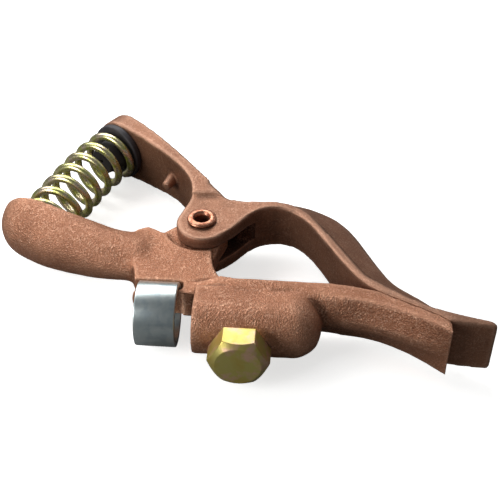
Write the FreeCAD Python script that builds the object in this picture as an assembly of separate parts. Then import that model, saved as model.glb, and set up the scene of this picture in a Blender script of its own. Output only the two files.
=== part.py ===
import FreeCAD, Part
import math
import os
from FreeCAD import Vector, Rotation

# Ground clamp, cast copper alloy, 200 A size, in millimetres.
# X runs along the cable socket towards the jaw tips, Y from the lower arm to the upper arm,
# Z is square to the arms' plane.  The origin is the centre of the cable socket's mouth.
# Outlines of both arms are given from the pivot axis, (x, y), and placed at the end.

socket_mouth_x = 1.5            # of the socket's mouth, from the pivot axis
socket_y = -41.2                # of the socket's axis, from the pivot axis
pivot_place = Vector(-socket_mouth_x, -socket_y, 0)

# pivot
rivet_radius = 4.0
rivet_bore = 5.0
rivet_flange_radius = 5.1
rivet_flange_height = 1.1
running_clearance = 0.05
ear_half_width = 8.4            # outer faces of the two ears
slot_half_width = 3.4           # between the ears
lug_half_width = 3.25           # lower arm's lug, inside the slot
lug_radius = 8.8
slot_radius = 12.4              # slot cut, round the pivot
web_half_width = 5.05
web_clear_radius = 12.3         # web stops short of the ears here

# upper handle and its spring seat
seat_x = -37.2                  # centre of the seat on the handle's inner face
seat_y = 51.6
seat_normal_angle = 56.2        # of the handle's outward normal, from +X
handle_end_half_width = 11.6
handle_end_reach = 11.3         # from the seat's centre to the end
handle_end_thickness = 7.6

# spring and its insulator
wire = 2.8
spring_mean_radius = 8.6
spring_turns = 6.8
spring_head_room = 2.7          # the flange is tilted to the spring's axis
spring_foot = Vector(-58.3, -1.6, 0)
insulator_radius = 11.0
insulator_flange = 2.4
insulator_plug_radius = 6.5     # at the flange
insulator_tip_radius = 5.0
insulator_plug_length = 8.0
seat_stud_radius = 3.0
seat_stud_length = 8.0

# spring cup at the end of the lower handle
cup_centre = Vector(-58.5, 3.3, 0)
cup_radius = 12.75
pocket_radius = 10.4

# cable socket, its bolt, the tongue and the ring on it
block_y = -42.0                 # centre of the block's round underside
block_radius = 9.6
block_side_half_width = 8.2
block_end_x = 32.6
bore_radius = 6.1               # reamed entry
bore_entry = 8.0
chamber_radius = 6.35           # cored hole behind the entry, under the bolt
bore_depth = 34.0
bolt_x = 16.85
bolt_radius = 5.0
bolt_length = 14.0
bolt_seat_y = -51.8
head_across_flats = 17.0
head_height = 8.3
head_face_radius = 8.8          # of the round face inside the corner chamfers
spot_face_radius = 11.6
tongue_face_y = -33.2
tongue_half_width = 5.0
tongue_end_x = -19.6
tongue_radius = 8.3
slot_end_x = -3.0
slot_top_y = -28.2
ring_centre_y = -38.86
ring_radius = 10.34
ring_wall = 1.75
ring_start_x = -16.75
ring_length = 12.9

# jaws
jaw_gap = 0.2                   # between the closed faces
far = 40.0                      # long enough to pass any piece


def flat(x, y):
    return Vector(x, y, 0)


def curve(points):
    """Smooth edge through the points, (x, y)."""
    spline = Part.BSplineCurve()
    spline.interpolate([flat(*p) for p in points])
    return spline.toShape()


def line(start, end):
    return Part.makeLine(flat(*start), flat(*end))


def arc(start, middle, end):
    return Part.Arc(flat(*start), flat(*middle), flat(*end)).toShape()


def polyline(points):
    return [line(a, b) for a, b in zip(points[:-1], points[1:])]


def slab(edges, half_width):
    """Prism of a closed outline, symmetric about the arms' plane."""
    wire_loop = Part.Wire(Part.__sortEdges__(edges))
    face = Part.Face(wire_loop)
    face.translate(Vector(0, 0, -half_width))
    return face.extrude(Vector(0, 0, 2 * half_width))


def cylinder(radius, length, base, direction):
    return Part.makeCylinder(radius, length, base, direction)


def pivot_hole():
    return cylinder(rivet_radius + running_clearance, far, Vector(0, 0, -far / 2), Vector(0, 0, 1))


def width_prism(stations, tall=160.0):
    """Everything inside +/- half width, stations (x, half width), smooth along X."""
    upper = [Vector(x, -tall / 2, w) for x, w in stations]
    lower = [Vector(x, -tall / 2, -w) for x, w in stations]
    top_curve = Part.BSplineCurve()
    top_curve.interpolate(upper)
    bottom_curve = Part.BSplineCurve()
    bottom_curve.interpolate(lower)
    edges = [top_curve.toShape(), Part.makeLine(upper[-1], lower[-1]),
             bottom_curve.toShape(), Part.makeLine(lower[0], upper[0])]
    face = Part.Face(Part.Wire(Part.__sortEdges__(edges)))
    return face.extrude(Vector(0, tall, 0))


# the two jaws meet along this line, which both arms use
bite_points = [(60.0, -31.7), (66.0, -35.3), (72.0, -38.9), (77.0, -42.0), (80.7, -44.9)]


def upper_arm_outline():
    """Ears, arch, blade and band, without the handle, (x, y) from the pivot."""
    gap = jaw_gap / 2
    bite = [(x, y + gap) for x, y in bite_points]
    arch_start = (11.6, -2.7)
    arch = [arch_start, (15.0, 2.2), (18.4, 6.0), (24.7, 8.5), (30.6, 7.2), (35.6, 3.1),
            (40.3, -4.0), (45.0, -12.5), (50.0, -20.9), (54.6, -26.9)] + bite[:1]
    tip_inner = (93.4, -46.3)
    tip_outer = (94.0, -44.2)
    band = [(33.0, 10.0), (38.7, 4.2), (45.6, -7.2), (52.1, -18.2), (57.0, -25.2), (61.5, -28.7),
            (66.0, -32.2), (71.5, -36.1), (78.0, -39.7), (87.0, -42.5), tip_outer]
    edges = [arc((-8.6, 0.0), (-2.6, -9.6), (8.2, -6.4)),
             line((8.2, -6.4), arch_start),
             curve(arch),
             curve(bite),
             curve([bite[-1], (84.0, -45.4), (89.0, -45.9), tip_inner]),
             arc(tip_inner, (95.2, -45.4), tip_outer),
             curve(band[::-1] + [(27.5, 11.7), (20.0, 11.6), (13.0, 11.7), (8.4, 13.0)]),
             line((8.4, 13.0), (2.0, 20.0)),
             line((2.0, 20.0), (-5.2, 18.0)),
             curve([(-5.2, 18.0), (-5.2, 13.0), (-7.0, 6.0), (-8.6, 0.0)])]
    return edges


def blade_corner():
    """Last stretch of the blade's plan, with rounded corners."""
    length = 5.0
    end = Part.makeBox(length, 160.0, 19.0, Vector(90.6, -80.0, -9.5))
    corners = [edge for edge in end.Edges
               if abs(edge.CenterOfMass.y) < 1e-6 and edge.CenterOfMass.x > 92.0]
    return end.makeFillet(2.4, corners)


def seat_frame():
    """Unit vectors along the handle, from the seat to the ears, and outward."""
    angle = math.radians(seat_normal_angle)
    outward = Vector(math.cos(angle), math.sin(angle), 0)
    along = Vector(math.sin(angle), -math.cos(angle), 0)
    return along, outward


def upper_handle():
    along, outward = seat_frame()
    seat = Vector(seat_x, seat_y, 0)
    end_inner = seat - along * (handle_end_reach + 1.0)
    end_outer = end_inner + outward * handle_end_thickness
    seat_outer = seat + outward * handle_end_thickness
    seat_edge = seat + along * (insulator_radius + 0.2)
    inner = [(seat_edge.x, seat_edge.y), (-23.8, 42.0), (-16.0, 35.4), (-11.0, 29.8),
             (-7.6, 24.4), (-5.7, 19.2), (-5.2, 14.0)]
    outer = [(5.6, 15.0), (0.9, 21.7), (-3.4, 27.3), (-7.8, 32.9), (-12.1, 38.1), (-16.6, 42.9),
             (-21.0, 47.3), (-28.0, 53.7), (seat_outer.x, seat_outer.y)]
    edges = [line((end_inner.x, end_inner.y), inner[0]),
             curve(inner),
             line(inner[-1], outer[0]),
             curve(outer),
             line(outer[-1], (end_outer.x, end_outer.y)),
             line((end_outer.x, end_outer.y), (end_inner.x, end_inner.y))]
    bar = slab(edges, handle_end_half_width + 1)
    # plan of the bar, square to the seat: round end, then tapering towards the ears
    stations = [(0.0, handle_end_half_width), (14.0, 10.7), (28.0, 9.5), (40.0, 9.1), (60.0, 9.0)]
    sides = []
    for side in (1, -1):
        rail = Part.BSplineCurve()
        rail.interpolate([seat + along * s + Vector(0, 0, side * w) for s, w in stations])
        sides.append(rail.toShape())
    tip = seat - along * handle_end_reach
    round_end = Part.Arc(seat + Vector(0, 0, handle_end_half_width), tip,
                         seat - Vector(0, 0, handle_end_half_width)).toShape()
    last = seat + along * stations[-1][0]
    last_half = Vector(0, 0, stations[-1][1])
    cap = Part.makeLine(last + last_half, last - last_half)
    plan = Part.Face(Part.Wire(Part.__sortEdges__(sides + [round_end, cap])))
    plan.translate(outward * -far)
    return bar.common(plan.extrude(outward * 2 * far))


def rib_section(base, crest, base_half, crest_half):
    """Rib cross-section in the plane of the base and crest points."""
    foot = Vector(*base, 0)
    top = Vector(*crest, 0)
    shoulder = foot + (top - foot) * 0.86
    corners = [foot + Vector(0, 0, base_half), shoulder + Vector(0, 0, crest_half),
               top + Vector(0, 0, crest_half * 0.45), top - Vector(0, 0, crest_half * 0.45),
               shoulder - Vector(0, 0, crest_half), foot - Vector(0, 0, base_half)]
    return Part.makePolygon(corners + corners[:1])


def upper_rib():
    """Roof-shaped rib over the band, from behind the pivot to the blade."""
    stations = [((9.0, 9.0), (8.0, 13.5), 6.4, 3.2),
                ((16.0, 9.8), (17.0, 16.8), 6.8, 3.0),
                ((24.5, 9.6), (26.4, 18.9), 6.9, 2.8),
                ((31.0, 9.0), (35.6, 18.0), 6.9, 2.6),
                ((36.5, 4.2), (44.4, 13.6), 6.9, 2.6),
                ((41.5, -2.5), (50.6, 7.2), 6.9, 2.7),
                ((46.4, -10.8), (56.2, -3.2), 7.0, 2.9),
                ((51.6, -19.5), (60.6, -12.6), 7.1, 3.3),
                ((57.8, -27.4), (65.2, -21.6), 7.3, 4.0),
                ((64.4, -32.3), (69.6, -27.6), 7.6, 5.2),
                ((73.0, -37.8), (75.4, -34.8), 8.0, 6.8),
                ((81.0, -42.0), (81.6, -40.6), 8.4, 8.0)]
    return Part.makeLoft([rib_section(*s) for s in stations], True, False)


def make_upper_arm():
    body = slab(upper_arm_outline(), far / 2)
    body = body.common(width_prism([(-12, ear_half_width), (12, ear_half_width), (24, 8.7),
                                    (36, 7.8), (46, 7.8), (60, 8.3), (76, 9.4), (91, 9.5)])
                       .fuse(blade_corner()))
    arm = body.fuse([upper_handle(), upper_rib()])
    # slot for the lower arm's lug, open to the arch
    slot = cylinder(slot_radius, 2 * slot_half_width, Vector(0, 0, -slot_half_width), Vector(0, 0, 1))
    window = Part.makeBox(17.0, 14.4, 2 * slot_half_width, Vector(0, -10.0, -slot_half_width))
    front = Part.makeBox(20.0, 14.0, 2 * slot_half_width, Vector(-14.0, -14.0, -slot_half_width))
    arm = arm.cut([slot, window, front])
    arm = arm.cut(pivot_hole())
    # stop stud on the handle's inner face
    stud = Part.makeCone(2.9, 1.7, 9.4, Vector(-13.3, 37.6, 0), Vector(-0.36, -0.93, 0))
    outward = seat_frame()[1]
    seat = Vector(seat_x, seat_y, 0)
    seat_stud = cylinder(seat_stud_radius, seat_stud_length, seat + outward, outward * -1)
    return arm.fuse([stud, seat_stud]).removeSplitter()


def ellipse_section(x, centre_y, half_height, half_width):
    """Closed oval in a plane square to X."""
    points = []
    for eighth in range(8):
        angle = math.radians(45 * eighth)
        y = centre_y + half_height * math.cos(angle)
        points.append(Vector(x, y, half_width * math.sin(angle)))
    oval = Part.BSplineCurve()
    oval.interpolate(Points=points, PeriodicFlag=True)
    return Part.Wire([oval.toShape()])


def lower_handle():
    """Oval handle that grows into the round spring cup, cut to its rim."""
    # (x, centre y, half height, half width)
    stations = [(-18.5, -12.7, 8.8, 6.8), (-24.0, -11.4, 9.6, 7.3), (-30.0, -10.7, 9.5, 8.1),
                (-36.0, -8.9, 10.1, 9.3), (-43.0, -5.8, 11.0, 10.8), (-51.0, -1.7, 12.5, 12.2),
                (cup_centre.x, 2.4, 13.4, cup_radius)]
    # the end is a ball
    for degrees in (18, 36, 52, 66, 77, 84):
        angle = math.radians(degrees)
        radius = cup_radius * math.cos(angle)
        stations.append((cup_centre.x - cup_radius * math.sin(angle), cup_centre.y, radius, radius))
    body = Part.makeLoft([ellipse_section(*s) for s in stations], True, False)
    rim = [(-78.0, 14.0), (-72.0, 8.7), (-68.0, 5.8), (-63.5, 3.5), (-58.5, 1.8), (-52.0, -0.3),
           (-46.0, -2.2), (-40.0, -3.0), (-34.0, -2.9), (-29.0, -2.3), (-25.0, -1.7), (-18.0, -0.6)]
    sky = polyline([rim[-1], (-18.0, 30.0), (-78.0, 30.0), rim[0]])
    above = slab([curve(rim)] + sky, far / 2)
    return body.cut(above)


def lower_web():
    """Plate between the handle, the lug, the socket and the jaw."""
    start = math.radians(196.5)
    end = math.radians(-68.5)
    middle = math.radians(244.0)
    reach = [(web_clear_radius * math.cos(a), web_clear_radius * math.sin(a))
             for a in (start, middle, end)]
    top = curve([(-30.0, -7.4), (-26.0, -5.6), (-22.6, -3.2), (-18.4, -0.9)])
    front = curve([reach[2], (4.9, -15.5), (5.8, -19.8), (8.0, -24.6), (13.5, -28.9)])
    bottom = polyline([(13.5, -28.9), (13.5, -36.0), (2.0, -36.0), (2.0, -34.4), (slot_end_x, -34.2),
                       (slot_end_x, slot_top_y), (-19.2, slot_top_y), (-19.8, -24.4)])
    heel = curve([(-19.8, -24.4), (-20.6, -22.2), (-23.0, -19.0), (-28.0, -15.0)])
    edges = [top, line((-18.4, -0.9), (-13.3, -3.7)), line((-13.3, -3.7), reach[0]),
             arc(*reach), front] + bottom + [heel, line((-28.0, -15.0), (-30.0, -7.4))]
    return slab(edges, web_half_width)


def lower_lug():
    """Thin lug that turns between the upper arm's ears."""
    disc = cylinder(lug_radius, 2 * lug_half_width, Vector(0, 0, -lug_half_width), Vector(0, 0, 1))
    neck = slab(polyline([(-15.5, -3.8), (-8.3, 3.0), (0.0, 0.0), (8.6, -2.0), (6.6, -8.0),
                          (5.6, -14.0), (0.0, -18.0), (-15.5, -14.0), (-15.5, -3.8)]),
                lug_half_width)
    return disc.fuse(neck)


def block_section(x):
    """Socket block's section: round below, upright sides above."""
    side = block_side_half_width
    top = -33.0
    edges = [Part.makeLine(Vector(x, top, side), Vector(x, top, -side)),
             Part.makeLine(Vector(x, top, -side), Vector(x, block_y, -block_radius)),
             Part.Arc(Vector(x, block_y, -block_radius), Vector(x, block_y - block_radius, 0),
                      Vector(x, block_y, block_radius)).toShape(),
             Part.makeLine(Vector(x, block_y, block_radius), Vector(x, top, side))]
    return Part.Face(Part.Wire(edges))


def socket_block():
    body = block_section(socket_mouth_x).extrude(Vector(block_end_x - socket_mouth_x, 0, 0))
    nose_ball = Part.makeSphere(block_radius, Vector(block_end_x, block_y, 0))
    nose_post = Part.makeCone(block_radius, block_side_half_width, -33.0 - block_y,
                              Vector(block_end_x, block_y, 0), Vector(0, 1, 0))
    return body.fuse([nose_ball, nose_post])


def jaw_section(x, top, half_width, side, keel):
    """Lower jaw's section: flat top, upright sides and a shallow keel below."""
    corners = [Vector(x, top, half_width), Vector(x, top, -half_width), Vector(x, side, -half_width),
               Vector(x, keel, -1.2), Vector(x, keel, 1.2), Vector(x, side, half_width)]
    return Part.makePolygon(corners + corners[:1])


def lower_jaw():
    stations = [(30.0, -28.0, 8.2, -35.4, -38.8), (44.0, -28.0, 8.2, -35.7, -39.4),
                (52.0, -28.5, 8.2, -36.3, -39.9), (60.0, -30.5, 8.3, -38.0, -41.6),
                (66.0, -33.5, 8.6, -40.3, -43.9), (72.0, -37.0, 9.1, -43.4, -46.4),
                (77.0, -40.0, 9.5, -46.7, -48.3), (82.0, -43.0, 9.6, -50.6, -50.2)]
    jaw = Part.makeLoft([jaw_section(*s) for s in stations], True, False)
    top = [(20.0, -29.0), (34.0, -28.9), (46.0, -29.1), (54.0, -30.3)]
    bite = [(x, y - jaw_gap / 2) for x, y in bite_points]
    below = slab([curve(top + bite[:1]), curve(bite)]
                 + polyline([bite[-1], (81.2, -46.0), (81.2, -50.6), (78.0, -60.0), (20.0, -60.0),
                             top[0]]), far / 2)
    return jaw.common(below)


def lower_flange():
    """Flange under the arch, widening out of the web."""
    outline = polyline([(-2.0, -29.5), (9.0, -27.5), (13.5, -28.9), (34.0, -28.9), (34.0, -35.0),
                        (9.0, -33.4), (-2.0, -33.4), (-2.0, -29.5)])
    body = slab(outline, far / 2)
    return body.common(width_prism([(-3, web_half_width), (2, 5.8), (8, 7.6), (14, 8.3), (24, 8.4),
                                    (36, 8.3)]))


def tongue():
    """Flat-faced tongue with a round back that carries the cable ring."""
    length = socket_mouth_x + 6.0 - tongue_end_x
    back = cylinder(tongue_radius, length, Vector(tongue_end_x, ring_centre_y, 0), Vector(1, 0, 0))
    keep = Part.makeBox(length, 12.0, 2 * tongue_half_width,
                        Vector(tongue_end_x, tongue_face_y, -tongue_half_width))
    bar = back.common(keep)
    # the free end is round in plan
    end_centre = Vector(tongue_end_x + tongue_half_width, -40.0, 0)
    end = cylinder(tongue_half_width, 20.0, end_centre, Vector(0, 1, 0))
    rest = Part.makeBox(length, 20.0, 2 * tongue_half_width,
                        end_centre - Vector(0, 0, tongue_half_width))
    return bar.common(end.fuse(rest))


def make_lower_arm():
    arm = lower_handle().fuse([lower_web(), lower_lug(), socket_block(), lower_jaw(),
                               lower_flange(), tongue()])
    entry = cylinder(bore_radius, bore_depth, Vector(socket_mouth_x, socket_y, 0), Vector(1, 0, 0))
    chamber = cylinder(chamber_radius, bore_depth - bore_entry,
                       Vector(socket_mouth_x + bore_entry, socket_y, 0), Vector(1, 0, 0))
    hole_end = Part.makeCone(chamber_radius, 2.0, 2.6, Vector(socket_mouth_x + bore_depth, socket_y, 0),
                             Vector(1, 0, 0))
    bolt_hole = cylinder(bolt_radius + running_clearance, bolt_length,
                         Vector(bolt_x, socket_y - bolt_length, 0), Vector(0, 1, 0))
    spot_face = cylinder(spot_face_radius, 4.0, Vector(bolt_x, bolt_seat_y + 0.4, 0), Vector(0, -1, 0))
    holes = [pivot_hole(), entry, chamber, hole_end, bolt_hole, spot_face, spring_pocket()]
    return arm.cut(holes).removeSplitter()


def spring_direction():
    outward = seat_frame()[1]
    head = Vector(seat_x, seat_y, 0) - outward * insulator_flange
    return head, (head - spring_foot).normalize()


def spring_pocket():
    """Round pocket of the cup, with a rounded floor, on the spring's line."""
    head, direction = spring_direction()
    wide = cylinder(pocket_radius, far, spring_foot + direction * 2.5, direction)
    floor = cylinder(pocket_radius - 2.5, far, spring_foot - direction * 0.2, direction)
    corner = Part.makeTorus(pocket_radius - 2.5, 2.5, spring_foot + direction * 2.3, direction)
    return wide.fuse([floor, corner])


def make_pivot_rivet():
    """Tubular rivet with a rolled flange at each end."""
    half = ear_half_width + 0.05
    shank = cylinder(rivet_radius, 2 * half, Vector(0, 0, -half), Vector(0, 0, 1))
    flanges = []
    for side in (1, -1):
        disc = cylinder(rivet_flange_radius, rivet_flange_height, Vector(0, 0, side * half),
                        Vector(0, 0, side))
        rim = [edge for edge in disc.Edges
               if abs(edge.CenterOfMass.z - side * (half + rivet_flange_height)) < 1e-6]
        flanges.append(disc.makeFillet(0.8, rim))
    rivet = shank.fuse(flanges)
    bore = cylinder(rivet_bore / 2, far, Vector(0, 0, -far / 2), Vector(0, 0, 1))
    return rivet.cut(bore).removeSplitter()


def make_spring():
    """Round-wire compression spring between the cup and the insulator."""
    head, direction = spring_direction()
    length = (head - spring_foot).Length - wire - spring_head_room
    pitch = length / spring_turns
    helix = Part.makeHelix(pitch, length, spring_mean_radius)
    section = Part.Wire(Part.makeCircle(wire / 2, Vector(spring_mean_radius, 0, 0), Vector(0, 1, 0)))
    coil = Part.Wire(helix.Edges).makePipeShell([section], True, True)
    turn = Rotation(Vector(0, 0, 1), direction)
    coil.Placement = FreeCAD.Placement(spring_foot + direction * (wire / 2 + 0.15), turn)
    return coil


def make_spring_insulator():
    """Moulded top hat that keeps the spring off the upper handle."""
    outward = seat_frame()[1]
    seat = Vector(seat_x, seat_y, 0) - outward * 0.05
    inward = outward * -1
    flange = cylinder(insulator_radius, insulator_flange - 0.1, seat, inward)
    plug = Part.makeCone(insulator_plug_radius, insulator_tip_radius, insulator_plug_length,
                         seat + inward * (insulator_flange - 0.1), inward)
    hole = cylinder(seat_stud_radius + 0.1, seat_stud_length, seat, inward)
    rim = [edge for edge in flange.Edges if edge.Closed and edge.Curve.TypeId == "Part::GeomCircle"]
    return flange.makeFillet(0.8, rim).fuse(plug).cut(hole).removeSplitter()


def make_cable_ring():
    base = Vector(ring_start_x, ring_centre_y, 0)
    tube = cylinder(ring_radius, ring_length, base, Vector(1, 0, 0))
    tube = tube.makeFillet(0.35, [e for e in tube.Edges if e.Closed])
    bore = cylinder(ring_radius - ring_wall, ring_length, base, Vector(1, 0, 0))
    return tube.cut(bore)


def make_cable_bolt():
    """Hex-head bolt that clamps the cable in its socket."""
    corner = head_across_flats / math.sqrt(3)
    face_y = bolt_seat_y - head_height
    corners = []
    for index in range(7):
        angle = math.radians(60 * index + 30)
        corners.append(Vector(bolt_x + corner * math.sin(angle), face_y, corner * math.cos(angle)))
    head = Part.Face(Part.makePolygon(corners)).extrude(Vector(0, head_height, 0))
    chamfer = Part.makeCone(head_face_radius, head_face_radius + head_height * 1.5,
                            head_height, Vector(bolt_x, face_y, 0), Vector(0, 1, 0))
    head = head.common(chamfer)
    shank = cylinder(bolt_radius, bolt_length - 2.0, Vector(bolt_x, bolt_seat_y, 0), Vector(0, 1, 0))
    point = Part.makeCone(bolt_radius, bolt_radius - 2.0, 2.0,
                          Vector(bolt_x, bolt_seat_y + bolt_length - 2.0, 0), Vector(0, 1, 0))
    return head.fuse([shank, point]).removeSplitter()


nodes = {
    "lower_arm": make_lower_arm,
    "upper_arm": make_upper_arm,
    "pivot_rivet": make_pivot_rivet,
    "spring": make_spring,
    "spring_insulator": make_spring_insulator,
    "cable_ring": make_cable_ring,
    "cable_bolt": make_cable_bolt,
}

os.makedirs("parts", exist_ok=True)
for name, make in nodes.items():
    shape = make()
    shape.translate(pivot_place)
    shape.exportStep("parts/" + name + ".step")
    box = shape.BoundBox
    print(name, shape.isValid(), len(shape.Solids), "solid(s), volume", round(shape.Volume),
          "x", round(box.XMin, 1), round(box.XMax, 1), "y", round(box.YMin, 1), round(box.YMax, 1),
          "z", round(box.ZMin, 1), round(box.ZMax, 1))
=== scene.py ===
import math

import bmesh
import bpy
from mathutils import Matrix, Vector, noise


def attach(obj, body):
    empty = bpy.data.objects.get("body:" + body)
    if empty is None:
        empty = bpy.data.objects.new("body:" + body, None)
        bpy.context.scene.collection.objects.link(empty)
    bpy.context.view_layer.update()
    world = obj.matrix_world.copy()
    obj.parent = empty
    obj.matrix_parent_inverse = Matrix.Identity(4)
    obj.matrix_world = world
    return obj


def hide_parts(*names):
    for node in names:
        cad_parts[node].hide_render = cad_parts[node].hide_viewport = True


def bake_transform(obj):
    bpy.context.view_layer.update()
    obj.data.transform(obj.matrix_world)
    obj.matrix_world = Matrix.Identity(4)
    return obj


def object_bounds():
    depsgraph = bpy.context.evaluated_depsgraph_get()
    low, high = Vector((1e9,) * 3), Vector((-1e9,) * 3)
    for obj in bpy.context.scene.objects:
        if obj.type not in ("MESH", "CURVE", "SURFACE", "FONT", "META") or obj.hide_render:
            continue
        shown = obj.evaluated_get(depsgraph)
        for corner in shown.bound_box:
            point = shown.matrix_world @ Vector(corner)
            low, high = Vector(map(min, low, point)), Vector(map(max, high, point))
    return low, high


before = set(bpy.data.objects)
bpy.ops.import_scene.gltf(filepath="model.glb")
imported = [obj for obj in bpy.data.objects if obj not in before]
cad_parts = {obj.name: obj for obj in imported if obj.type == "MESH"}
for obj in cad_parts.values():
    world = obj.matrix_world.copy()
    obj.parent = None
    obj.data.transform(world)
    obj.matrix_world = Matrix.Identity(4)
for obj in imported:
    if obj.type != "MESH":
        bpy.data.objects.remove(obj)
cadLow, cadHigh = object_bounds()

mm = 0.001
scene = bpy.context.scene
scene.view_settings.view_transform = "Standard"


cameraPlace = {"target": (15.45, 36.1, 0.0), "distance": 343.8, "turn": 3.35, "elevation": 40.15,
               "roll": 0.69, "lens": 72.0, "nearest": 0.01}


def addCamera(place):
    turn, rise, roll = (math.radians(place[k]) for k in ("turn", "elevation", "roll"))
    level = Vector((math.cos(turn), math.sin(turn), 0))
    ahead = Vector((-math.sin(turn), math.cos(turn), 0))
    forward = ahead * math.cos(rise) - Vector((0, 0, math.sin(rise)))
    above = ahead * math.sin(rise) + Vector((0, 0, math.cos(rise)))
    right = level * math.cos(roll) + above * math.sin(roll)
    up = above * math.cos(roll) - level * math.sin(roll)
    camera = bpy.data.objects.new("camera", bpy.data.cameras.new("camera"))
    scene.collection.objects.link(camera)
    camera.data.lens = place["lens"]
    camera.data.clip_start = place["nearest"]
    turned = Matrix((right, up, -forward)).transposed().to_4x4()
    turned.translation = (Vector(place["target"]) - forward * place["distance"]) * mm
    camera.matrix_world = turned
    scene.camera = camera


studioLights = {
    "back left": {"place": (-0.16, 0.28, 0.28), "aim": (-0.01, 0.03, 0.0),
                  "size": (0.5, 0.3), "power": 1.75},
    "front left": {"place": (-0.34, -0.2, 0.2), "aim": (-0.04, 0.03, 0.0),
                   "size": (0.22, 0.22), "power": 1.2},
    "back right": {"place": (0.55, 0.62, 0.34), "aim": (0.02, 0.02, 0.0),
                   "size": (0.5, 0.5), "power": 0.4},
}


def addLight(name, values):
    light = bpy.data.lights.new(name, "AREA")
    light.shape = "RECTANGLE"
    light.size, light.size_y = values["size"]
    light.energy = values["power"]
    lamp = bpy.data.objects.new(name, light)
    scene.collection.objects.link(lamp)
    lamp.location = values["place"]
    ray = Vector(values["aim"]) - Vector(values["place"])
    lamp.rotation_euler = ray.to_track_quat("-Z", "Y").to_euler()


addCamera(cameraPlace)
for lightName, lightValues in studioLights.items():
    addLight(lightName, lightValues)

world = bpy.data.worlds.new("studio")
world.use_nodes = True
scene.world = world


def put(tree, kind, values=None, **settings):
    made = tree.nodes.new("ShaderNode" + kind)
    for label, value in settings.items():
        setattr(made, label, value)
    for label, value in (values or {}).items():
        if isinstance(value, bpy.types.NodeSocket):
            tree.links.new(value, made.inputs[label])
        else:
            made.inputs[label].default_value = value
    return made


def newGroup(name, inputs, outputs):
    tree = bpy.data.node_groups.new(name, "ShaderNodeTree")
    for label, (kind, value) in inputs.items():
        socket = tree.interface.new_socket(name=label, in_out="INPUT", socket_type="NodeSocket" + kind)
        if value is not None:
            socket.default_value = value
    for label, kind in outputs.items():
        tree.interface.new_socket(name=label, in_out="OUTPUT", socket_type="NodeSocket" + kind)
    return tree, tree.nodes.new("NodeGroupInput").outputs, tree.nodes.new("NodeGroupOutput").inputs


def sized(tree, vector, size):          # the vector divided by a size in metres
    share = put(tree, "Math", {0: 1.0, 1: size}, operation="DIVIDE")
    return put(tree, "VectorMath", {0: vector, "Scale": share.outputs[0]}, operation="SCALE").outputs[0]


def ramp(tree, value, low, high, toLow=0.0, toHigh=1.0):
    return put(tree, "MapRange", {"Value": value, "From Min": low, "From Max": high,
                                  "To Min": toLow, "To Max": toHigh}).outputs[0]


def blendColour(tree, share, first, second):
    mixed = put(tree, "Mix", {"Factor": share}, data_type="RGBA")
    for label, value in (("A_Color", first), ("B_Color", second)):
        socket = next(s for s in mixed.inputs if s.identifier == label)
        if isinstance(value, bpy.types.NodeSocket):
            tree.links.new(value, socket)
        else:
            socket.default_value = value
    return next(s for s in mixed.outputs if s.identifier == "Result_Color")


def calc(tree, operation, first, second):
    return put(tree, "Math", {0: first, 1: second}, operation=operation).outputs[0]


def makeCastSkin():                     # sand-cast metal: patches, grain, painted glints, painted highlight on convex edges, painted shade in creases
    tree, given, wanted = newGroup(
        "cast skin",
        {"Vector": ("Vector", None), "Light": ("Color", (0.5, 0.3, 0.2, 1)),
         "Dark": ("Color", (0.25, 0.12, 0.08, 1)), "Highlight colour": ("Color", (0.9, 0.6, 0.45, 1)),
         # near-black colour for painted shade in creases
         "Crease shade": ("Color", (0.06, 0.028, 0.016, 1)),
         "Grain size": ("Float", 0.0005), "Patch size": ("Float", 0.012),
         "Painted glints": ("Float", 0.5), "Edge": ("Float", 0.5)},
        {"Colour": "Color", "Roughness": "Float", "Height": "Float"})
    fine = sized(tree, given["Vector"], given["Grain size"])
    wide = sized(tree, given["Vector"], given["Patch size"])
    grain = put(tree, "TexNoise", {"Vector": fine, "Scale": 1.0, "Detail": 3.0, "Roughness": 0.62})
    facets = put(tree, "TexVoronoi", {"Vector": fine, "Scale": 0.85})
    patches = put(tree, "TexNoise", {"Vector": wide, "Scale": 1.0, "Detail": 5.0, "Roughness": 0.6})
    glintPatches = put(tree, "TexNoise", {"Vector": wide, "Scale": 5.0, "Detail": 3.0, "Roughness": 0.55})
    tone = calc(tree, "ADD", calc(tree, "MULTIPLY", patches.outputs[0], 0.5),
                calc(tree, "MULTIPLY", grain.outputs[0], 0.5))
    # painted highlight: convex edges lightened towards the highlight colour
    paintedEdgeHighlight = ramp(tree, given["Edge"], 0.53, 0.8)
    # painted shade: concave creases darkened towards a near-black colour, and made rougher
    paintedCreaseShade = ramp(tree, given["Edge"], 0.47, 0.25)
    base = blendColour(tree, ramp(tree, tone, 0.34, 0.66), given["Dark"], given["Light"])
    base = blendColour(tree, calc(tree, "MULTIPLY", paintedCreaseShade, 0.8), base, given["Crease shade"])
    base = blendColour(tree, calc(tree, "MULTIPLY", paintedEdgeHighlight, 0.2), base, given["Highlight colour"])
    # painted glints: bright specks of the highlight colour mixed into the base colour, in patches
    area = ramp(tree, glintPatches.outputs[0], 0.36, 0.62, 0.25, 1.0)
    glint = ramp(tree, facets.outputs["Color"], 0.6, 0.72)
    glint = calc(tree, "MULTIPLY", calc(tree, "MULTIPLY", glint, area), given["Painted glints"])
    tree.links.new(blendColour(tree, glint, base, given["Highlight colour"]), wanted["Colour"])
    rough = ramp(tree, grain.outputs[0], 0.3, 0.7, 0.6, 0.4)
    rough = calc(tree, "SUBTRACT", rough, calc(tree, "MULTIPLY", glint, 0.2))
    tree.links.new(calc(tree, "ADD", rough, calc(tree, "MULTIPLY", paintedCreaseShade, 0.15)), wanted["Roughness"])
    height = calc(tree, "ADD", grain.outputs[0], calc(tree, "MULTIPLY", facets.outputs["Distance"], 0.6))
    tree.links.new(height, wanted["Height"])
    return tree


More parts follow.
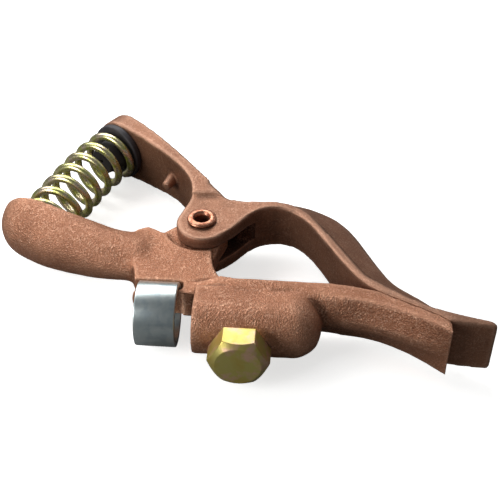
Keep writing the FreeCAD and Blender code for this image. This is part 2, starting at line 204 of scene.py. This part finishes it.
def makePlating():                      # passivated zinc: drifting tint, fine drawing lines, dull spots
    tree, given, wanted = newGroup(
        "zinc plating",
        {"Vector": ("Vector", None), "Main": ("Color", (0.7, 0.7, 0.4, 1)),
         "Second": ("Color", (0.8, 0.6, 0.6, 1)), "Third": ("Color", (0.5, 0.6, 0.3, 1)),
         "Tint size": ("Float", 0.004), "Scratch size": ("Float", 0.0003),
         "Rough low": ("Float", 0.2), "Rough high": ("Float", 0.4)},
        {"Colour": "Color", "Roughness": "Float", "Height": "Float"})
    wide = sized(tree, given["Vector"], given["Tint size"])
    fine = sized(tree, given["Vector"], given["Scratch size"])
    drift = put(tree, "TexNoise", {"Vector": wide, "Scale": 1.0, "Detail": 3.0, "Distortion": 0.6})
    second = put(tree, "TexNoise", {"Vector": wide, "Scale": 1.9, "Detail": 4.0})
    marks = put(tree, "TexNoise", {"Vector": fine, "Scale": 1.0, "Detail": 4.0, "Roughness": 0.7})
    colour = blendColour(tree, ramp(tree, drift.outputs[0], 0.42, 0.6), given["Main"], given["Second"])
    colour = blendColour(tree, ramp(tree, second.outputs[0], 0.48, 0.66), colour, given["Third"])
    tree.links.new(colour, wanted["Colour"])
    share = calc(tree, "ADD", calc(tree, "MULTIPLY", marks.outputs[0], 0.6),
                 calc(tree, "MULTIPLY", second.outputs[0], 0.4))
    rough = put(tree, "MapRange", {"Value": share, "From Min": 0.35, "From Max": 0.65,
                                   "To Min": given["Rough low"], "To Max": given["Rough high"]})
    tree.links.new(rough.outputs[0], wanted["Roughness"])
    tree.links.new(marks.outputs[0], wanted["Height"])
    return tree


castSkin = makeCastSkin()
plating = makePlating()


def newMaterial(name, group, inputs, metallic, bump, edge=False):
    material = bpy.data.materials.new(name)
    material.use_nodes = True
    tree = material.node_tree
    shader = tree.nodes["Principled BSDF"]
    where = put(tree, "TexCoord").outputs["Object"]
    skin = tree.nodes.new("ShaderNodeGroup")
    skin.node_tree = group
    tree.links.new(where, skin.inputs["Vector"])
    for label, value in inputs.items():
        skin.inputs[label].default_value = value
    # the edge mark drives painted edge highlights and painted shade in creases
    if edge:
        mark = put(tree, "Attribute", attribute_name="edge")
        tree.links.new(mark.outputs["Fac"], skin.inputs["Edge"])
    relief = put(tree, "Bump", {"Height": skin.outputs["Height"], "Strength": bump["strength"],
                                "Distance": bump["distance"]})
    tree.links.new(skin.outputs["Colour"], shader.inputs["Base Color"])
    tree.links.new(skin.outputs["Roughness"], shader.inputs["Roughness"])
    tree.links.new(relief.outputs[0], shader.inputs["Normal"])
    shader.inputs["Metallic"].default_value = metallic
    return material


# the bright colour and the glint amount below are painted highlights: glints and edge highlights in the base
# colour
castLower = newMaterial("cast copper alloy", castSkin, {
    "Light": (0.54, 0.25, 0.143, 1), "Dark": (0.31, 0.13, 0.07, 1), "Highlight colour": (0.88, 0.53, 0.36, 1),
    "Grain size": 0.00044, "Patch size": 0.013, "Painted glints": 0.4},
    metallic=0.8, bump={"strength": 0.9, "distance": 0.0003}, edge=True)
castUpper = newMaterial("cast copper alloy, browner", castSkin, {
    "Light": (0.38, 0.183, 0.108, 1), "Dark": (0.2, 0.09, 0.05, 1), "Highlight colour": (0.72, 0.46, 0.33, 1),
    "Grain size": 0.0004, "Patch size": 0.015, "Painted glints": 0.2},
    metallic=0.75, bump={"strength": 0.42, "distance": 0.0002}, edge=True)
rivetCopper = newMaterial("rolled copper", plating, {
    "Main": (0.46, 0.19, 0.11, 1), "Second": (0.58, 0.28, 0.18, 1), "Third": (0.3, 0.11, 0.065, 1),
    "Tint size": 0.002, "Scratch size": 0.0003, "Rough low": 0.25, "Rough high": 0.45},
    metallic=0.95, bump={"strength": 0.25, "distance": 0.0001})
springZinc = newMaterial("yellow zinc wire", plating, {
    "Main": (0.64, 0.62, 0.28, 1), "Second": (0.76, 0.62, 0.48, 1), "Third": (0.5, 0.53, 0.15, 1),
    "Tint size": 0.005, "Scratch size": 0.0004, "Rough low": 0.2, "Rough high": 0.38},
    metallic=0.95, bump={"strength": 0.12, "distance": 0.0001})
boltZinc = newMaterial("yellow zinc bolt", plating, {
    "Main": (0.56, 0.43, 0.1, 1), "Second": (0.58, 0.5, 0.15, 1), "Third": (0.72, 0.46, 0.3, 1),
    "Tint size": 0.008, "Scratch size": 0.0005, "Rough low": 0.3, "Rough high": 0.42},
    metallic=0.7, bump={"strength": 0.1, "distance": 0.0001})
ringZinc = newMaterial("bright zinc", plating, {
    "Main": (0.6, 0.68, 0.68, 1), "Second": (0.68, 0.75, 0.74, 1), "Third": (0.5, 0.58, 0.6, 1),
    "Tint size": 0.006, "Scratch size": 0.0007, "Rough low": 0.28, "Rough high": 0.36},
    metallic=1.0, bump={"strength": 0.08, "distance": 0.0001})
insulatorBlack = newMaterial("moulded insulator", plating, {
    "Main": (0.03, 0.026, 0.03, 1), "Second": (0.042, 0.036, 0.04, 1), "Third": (0.024, 0.022, 0.025, 1),
    "Tint size": 0.006, "Scratch size": 0.0004, "Rough low": 0.5, "Rough high": 0.66},
    metallic=0.0, bump={"strength": 0.2, "distance": 0.0001})
print("materials ready")


backdrop = {"colour": (0.93, 0.96, 1.0, 1.0), "ambient": 0.15, "seen": 0.8}


def addBackdrop(values):                # dim for the light it gives, pale where the camera sees it
    tree = world.node_tree
    background = tree.nodes["Background"]
    background.inputs["Color"].default_value = values["colour"]
    path = put(tree, "LightPath").outputs["Is Camera Ray"]
    tree.links.new(ramp(tree, path, 0.0, 1.0, values["ambient"], values["seen"]),
                   background.inputs["Strength"])


addBackdrop(backdrop)
floorValues = {"size": 6.0, "seen": (0.96, 0.96, 0.95, 1), "reflected": (0.17, 0.17, 0.17, 1),
               "glow": 0.7, "rough": 0.9, "speckScale": 300.0, "speck": 0.04}


def addFloor(values):
    bm = bmesh.new()
    bmesh.ops.create_grid(bm, x_segments=1, y_segments=1, size=values["size"] / 2)
    bmesh.ops.translate(bm, verts=bm.verts, vec=(0, 0, cadLow.z))
    mesh = bpy.data.meshes.new("floor")
    bm.to_mesh(mesh)
    bm.free()
    floor = bpy.data.objects.new("floor", mesh)
    scene.collection.objects.link(floor)
    paper = bpy.data.materials.new("paper")
    paper.use_nodes = True
    tree = paper.node_tree
    shader = tree.nodes["Principled BSDF"]
    speck = put(tree, "TexNoise", {"Vector": put(tree, "TexCoord").outputs["Object"],
                                   "Scale": values["speckScale"]})
    pale = blendColour(tree, ramp(tree, speck.outputs[0], 0.3, 0.7, 0.0, values["speck"]),
                       values["seen"], values["reflected"])
    path = put(tree, "LightPath").outputs["Is Camera Ray"]
    tree.links.new(blendColour(tree, path, values["reflected"], pale), shader.inputs["Base Color"])
    shader.inputs["Emission Color"].default_value = values["seen"]
    tree.links.new(calc(tree, "MULTIPLY", path, values["glow"]), shader.inputs["Emission Strength"])
    shader.inputs["Roughness"].default_value = values["rough"]
    floor.data.materials.append(paper)


addFloor(floorValues)
print("studio ready")


def meshOf(bm, name):
    mesh = bpy.data.meshes.new(name)
    bm.to_mesh(mesh)
    bm.free()
    return mesh


def addPiece(name, mesh, material):
    for face in mesh.polygons:
        face.use_smooth = True
    piece = bpy.data.objects.new(name, mesh)
    scene.collection.objects.link(piece)
    mesh.materials.clear()
    mesh.materials.append(material)
    return piece


def baked(piece):                       # the mesh with its modifiers applied
    bpy.context.view_layer.update()
    shape = piece.evaluated_get(bpy.context.evaluated_depsgraph_get())
    mesh = bpy.data.meshes.new_from_object(shape)
    bpy.data.objects.remove(piece)
    return mesh


def smoothed(bm, verts, rounds):
    for _ in range(rounds):
        bmesh.ops.smooth_vert(bm, verts=verts, factor=0.5,
                              use_axis_x=True, use_axis_y=True, use_axis_z=True)


def lathe(corners, rounding, steps, turned):    # a closed outline, (radius, height), spun full turn
    bm = bmesh.new()
    verts = [bm.verts.new((r * mm, 0, h * mm)) for r, h in corners]
    for a, b in zip(verts, verts[1:] + verts[:1]):
        bm.edges.new((a, b))
    bmesh.ops.bevel(bm, geom=list(bm.verts) + list(bm.edges), offset=rounding * mm, offset_type="OFFSET",
                    segments=4, profile=0.5, affect="VERTICES", material=-1)
    bmesh.ops.spin(bm, geom=list(bm.verts) + list(bm.edges), cent=(0, 0, 0), axis=(0, 0, 1),
                   angle=2 * math.pi, steps=steps, use_merge=True)
    bmesh.ops.remove_doubles(bm, verts=bm.verts, dist=1e-7)
    bmesh.ops.recalc_face_normals(bm, faces=bm.faces)
    bmesh.ops.transform(bm, matrix=turned, verts=bm.verts)
    return bm


def facing(place, axis):                # a frame at place with its local Z along axis
    turned = Vector(axis).to_track_quat("Z", "Y").to_matrix().to_4x4()
    turned.translation = Vector(place)
    return turned


castings = {
    "lower_arm": {"body": "lower arm", "slot": "lower_casting", "material": castLower,
                  "voxel": 0.45, "rounds": 5, "ripple": 0.07, "rippleSize": 3.5,
                  "fillets": [((-21.0, 29.0), 9.5, 90), ((39.0, 3.0), 8.0, 60)]},
    "upper_arm": {"body": "upper arm", "slot": "upper_casting", "material": castUpper,
                  "voxel": 0.43, "rounds": 5, "ripple": 0.06, "rippleSize": 4.0,
                  "fillets": [((1.0, 56.0), 7.5, 30)]},
}
edgeMark = {"rounds": 14, "reach": 0.25, "lowest": 0.36}       # 0.5 on flat faces, more on convex edges (painted highlight), less in creases (painted shade)
hingeSlot = {"centre": (-1.5, 41.2), "radius": 19.0, "half": 3.6, "mark": 0.1}     # painted shade: the slot's inside gets the lowest edge mark


def addCasting(node, values):
    bm = bmesh.new()
    bm.from_mesh(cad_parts[node].data)
    bmesh.ops.remove_doubles(bm, verts=bm.verts, dist=1e-6)
    rough = bpy.data.objects.new(node + " rough", meshOf(bm, node + " rough"))
    scene.collection.objects.link(rough)
    remesh = rough.modifiers.new("skin", "REMESH")
    remesh.mode = "VOXEL"
    remesh.voxel_size = values["voxel"] * mm
    bm = bmesh.new()
    bm.from_mesh(baked(rough))
    smoothed(bm, bm.verts, values["rounds"])
    for place, reach, rounds in values["fillets"]:      # generous cast corners
        near = [vert for vert in bm.verts if (vert.co.xy / mm - Vector(place)).length < reach]
        smoothed(bm, near, rounds)
    bm.normal_update()
    for vert in bm.verts:               # the mould's slight unevenness
        swell = noise.noise(vert.co / (values["rippleSize"] * mm))
        vert.co += vert.normal * (swell * values["ripple"] * mm)
    bm.normal_update()
    soft = bm.copy()
    smoothed(soft, soft.verts, edgeMark["rounds"])
    # edge mark from convexity: high on edges for painted highlight, low in creases for painted shade
    layer = bm.verts.layers.float.new("edge")
    for vert, rounded in zip(bm.verts, soft.verts):
        raised = (vert.co - rounded.co).dot(vert.normal) / (edgeMark["reach"] * mm)
        vert[layer] = min(1.0, max(edgeMark["lowest"], 0.5 + raised))
        # painted shade: inside the hinge slot the edge mark drops to full crease shade
        away = (vert.co.xy / mm - Vector(hingeSlot["centre"])).length
        if node == "upper_arm" and away < hingeSlot["radius"] and abs(vert.co.z) < hingeSlot["half"] * mm:
            vert[layer] = hingeSlot["mark"]
    soft.free()
    piece = addPiece(node + "_casting", meshOf(bm, node + "_casting"), values["material"])
    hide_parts(node)
    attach(piece, values["body"])
    print(piece.name, len(piece.data.polygons), "faces")


for castNode, castValues in castings.items():
    addCasting(castNode, castValues)


rivet = {"centre": (-1.5, 41.2), "half": 8.45, "lip": 1.15, "shank": 4.0, "flange": 5.1, "bore": 2.45,
         "mouth": ((0.0, 1.2), (0.55, 0.1), (1.3, 0.0)),      # out from the bore, down from the top
         "rim": ((0.4, 0.25), (0.0, 0.7)),      # in from the flange's edge, down from the top
         "tuck": 0.15, "sunk": 0.05, "rounding": 0.21, "steps": 64}


def addRivet(values):
    top = values["half"] + values["lip"]
    bore, flange, shank, under = values["bore"], values["flange"], values["shank"], values["half"]
    upper = [(bore + out, top - down) for out, down in values["mouth"]]
    upper += [(flange - inward, top - down) for inward, down in values["rim"]]
    upper += [(flange - values["tuck"], under), (shank, under - values["sunk"])]
    corners = upper + [(radius, -height) for radius, height in reversed(upper)]
    place = (values["centre"][0] * mm, values["centre"][1] * mm, 0)
    bm = lathe(corners, values["rounding"], values["steps"], facing(place, (0, 0, 1)))
    piece = addPiece("pivot_rivet_rolled", meshOf(bm, "pivot_rivet_rolled"), rivetCopper)
    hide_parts("pivot_rivet")
    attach(piece, "upper arm")


addRivet(rivet)


seat = {"place": (-38.7, 92.8), "normal": 56.2}     # on the upper handle's inner face
insulator = {"flange": 11.0, "thick": 2.6, "plug": 6.5, "tip": 5.0, "length": 8.0, "hole": 3.1,
             "vent": 0.6, "tipWall": 0.9, "gap": 0.05, "rounding": 0.6, "steps": 72}
spring = {"foot": (-59.8, 39.6), "wire": 3.0, "radius": 8.85, "closedLow": 1.0, "active": 6.66,
          "closedHigh": 0.1, "closedPitch": 1.03, "ground": 0.25, "start": 326.0, "gap": 0.1,
          "blendEnds": 3.0, "section": 14, "stepsPerTurn": 40}      # closedPitch and ground in wire widths


def outward():
    angle = math.radians(seat["normal"])
    return Vector((math.cos(angle), math.sin(angle), 0))


def addInsulator(values):
    flange, thick = values["flange"], values["thick"]
    end = thick + values["length"]
    corners = [(values["hole"], 0.0), (flange, 0.0), (flange, thick), (values["plug"], thick),
               (values["tip"], end), (values["vent"], end), (values["vent"], end - values["tipWall"]),
               (values["hole"], end - values["tipWall"])]
    place = Vector((seat["place"][0], seat["place"][1], 0)) * mm - outward() * values["gap"] * mm
    bm = lathe(corners, values["rounding"], values["steps"], facing(place, -outward()))
    piece = addPiece("insulator_moulding", meshOf(bm, "insulator_moulding"), insulatorBlack)
    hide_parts("spring_insulator")
    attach(piece, "upper arm")


def addSpring(values):
    foot = Vector((values["foot"][0], values["foot"][1], 0)) * mm
    head = Vector((seat["place"][0], seat["place"][1], 0)) * mm
    head -= outward() * (insulator["thick"] + values["gap"]) * mm
    reach = (head - foot).length
    wire, steps = values["wire"] * mm, values["stepsPerTurn"]
    closedRise = wire * values["closedPitch"]
    ground = wire * values["ground"]
    activeRise = reach - 2 * ground - closedRise * (values["closedLow"] + values["closedHigh"])
    bm = bmesh.new()
    ring = bmesh.ops.create_circle(bm, segments=values["section"], radius=wire / 2,
                                   matrix=Matrix.Translation((values["radius"] * mm, 0, ground))
                                   @ Matrix.Rotation(math.pi / 2, 4, "X"))
    ends = list(ring["verts"]) + list(bm.edges)
    for turns, rise in ((values["closedLow"], closedRise * values["closedLow"]),
                        (values["active"], activeRise),
                        (values["closedHigh"], closedRise * values["closedHigh"])):
        count = round(turns * steps)
        made = bmesh.ops.spin(bm, geom=ends, cent=(0, 0, 0), axis=(0, 0, 1), angle=turns * 2 * math.pi,
                              dvec=(0, 0, rise / count), steps=count)
        ends = made["geom_last"]
    for height, side in ((0.0, -1), (reach, 1)):        # both ends ground flat
        bmesh.ops.bisect_plane(bm, geom=list(bm.verts) + list(bm.edges) + list(bm.faces), dist=1e-7,
                               plane_co=(0, 0, height), plane_no=(0, 0, side), clear_outer=True)
    bmesh.ops.holes_fill(bm, edges=bm.edges, sides=0)
    bmesh.ops.recalc_face_normals(bm, faces=bm.faces)
    bmesh.ops.rotate(bm, verts=bm.verts, cent=(0, 0, 0),
                     matrix=Matrix.Rotation(math.radians(values["start"]), 3, "Z"))
    chord = (head - foot).normalized()
    for vert in bm.verts:               # the upper end tilts to lie flat on the insulator
        t = vert.co.z / reach
        s = t * t * (3 - 2 * t)
        place = foot + (head - foot) * t + (outward() - chord) * reach * t * t * (t - 1)
        along = (chord * (1 - s) + outward() * s).normalized()
        across = Vector((-along.y, along.x, 0))
        vert.co = place + across * vert.co.x + Vector((0, 0, 1)) * vert.co.y
    bmesh.ops.recalc_face_normals(bm, faces=bm.faces)
    piece = addPiece("spring_coil", meshOf(bm, "spring_coil"), springZinc)
    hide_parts("spring")
    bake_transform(piece)


addInsulator(insulator)
addSpring(spring)
print("rivet, insulator and spring ready")


cableRing = {"centre": 2.34, "start": -18.25, "length": 12.9, "radius": 10.34, "wall": 1.75,
             "rounding": 0.35, "steps": 96}


def addCableRing(values):
    inner = values["radius"] - values["wall"]
    corners = [(inner, 0.0), (values["radius"], 0.0), (values["radius"], values["length"]),
               (inner, values["length"])]
    place = Vector((values["start"], values["centre"], 0)) * mm
    bm = lathe(corners, values["rounding"], values["steps"], facing(place, (1, 0, 0)))
    piece = addPiece("cable_ring_plated", meshOf(bm, "cable_ring_plated"), ringZinc)
    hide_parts("cable_ring")
    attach(piece, "cable ring")


addCableRing(cableRing)


cableBolt = {"x": 15.35, "seat": -10.6, "head": 8.3, "flats": 17.0, "face": 7.2, "slope": 1.2,
             "chamferSteps": 96, "bevel": 0.35, "bevelSegments": 3, "bevelAngle": 20, "thread": 5.0,
             "root": 4.2, "pitch": 1.5, "length": 14.0, "stepsPerTurn": 36,
             "rootEnd": 0.12, "crestStart": 0.44}       # the last two in pitches


def addCableBolt(values):
    corner, tall = values["flats"] / math.sqrt(3) * mm, values["head"] * mm
    bm = bmesh.new()                    # local Z runs from the seat out to the head's face
    bmesh.ops.create_cone(bm, cap_ends=True, segments=6, radius1=corner, radius2=corner, depth=tall,
                          matrix=Matrix.Translation((0, 0, tall / 2)) @ Matrix.Rotation(math.pi / 6, 4, "Z"))
    hexagon = bpy.data.objects.new("hexagon", meshOf(bm, "hexagon"))
    bm = bmesh.new()
    wide = values["face"] + values["head"] * values["slope"]
    bmesh.ops.create_cone(bm, cap_ends=True, segments=values["chamferSteps"], radius1=wide * mm,
                          radius2=values["face"] * mm, depth=tall,
                          matrix=Matrix.Translation((0, 0, tall / 2)))
    cone = bpy.data.objects.new("cone", meshOf(bm, "cone"))
    scene.collection.objects.link(hexagon)
    scene.collection.objects.link(cone)
    cut = hexagon.modifiers.new("chamfer", "BOOLEAN")
    cut.operation = "INTERSECT"
    cut.object = cone
    soften = hexagon.modifiers.new("soften", "BEVEL")
    soften.width = values["bevel"] * mm
    soften.segments = values["bevelSegments"]
    soften.limit_method = "ANGLE"
    soften.angle_limit = math.radians(values["bevelAngle"])
    headMesh = baked(hexagon)
    bpy.data.objects.remove(cone)
    bm = bmesh.new()
    root, crest, pitch = values["root"] * mm, values["thread"] * mm, values["pitch"] * mm
    rootEnd, crestStart = values["rootEnd"], values["crestStart"]
    outline = [(root, 0.0), (root, rootEnd), (crest, crestStart), (crest, 1 - crestStart),
               (root, 1 - rootEnd), (root, 1.0)]
    verts = [bm.verts.new((r, 0, -h * pitch)) for r, h in outline]
    edges = [bm.edges.new(pair) for pair in zip(verts, verts[1:])]
    turns, steps = math.ceil(values["length"] / values["pitch"]) + 2, values["stepsPerTurn"]
    bmesh.ops.spin(bm, geom=verts + edges, cent=(0, 0, 0), axis=(0, 0, 1), angle=turns * 2 * math.pi,
                   dvec=(0, 0, -pitch / steps), steps=turns * steps)
    bmesh.ops.remove_doubles(bm, verts=bm.verts, dist=1e-6)
    bmesh.ops.translate(bm, verts=bm.verts, vec=(0, 0, pitch))
    for height, side in ((0.0, 1), (-values["length"] * mm, -1)):
        bmesh.ops.bisect_plane(bm, geom=list(bm.verts) + list(bm.edges) + list(bm.faces), dist=1e-7,
                               plane_co=(0, 0, height), plane_no=(0, 0, side), clear_outer=True)
    bmesh.ops.holes_fill(bm, edges=bm.edges, sides=0)
    bmesh.ops.recalc_face_normals(bm, faces=bm.faces)
    bm.from_mesh(headMesh)
    place = Vector((values["x"], values["seat"], 0)) * mm
    bmesh.ops.transform(bm, matrix=facing(place, (0, -1, 0)), verts=bm.verts)
    piece = addPiece("cable_bolt_hex", meshOf(bm, "cable_bolt_hex"), boltZinc)
    piece.modifiers.new("shading", "WEIGHTED_NORMAL").keep_sharp = True
    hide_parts("cable_bolt")
    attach(piece, "cable bolt")


addCableBolt(cableBolt)
print("ring and bolt ready")
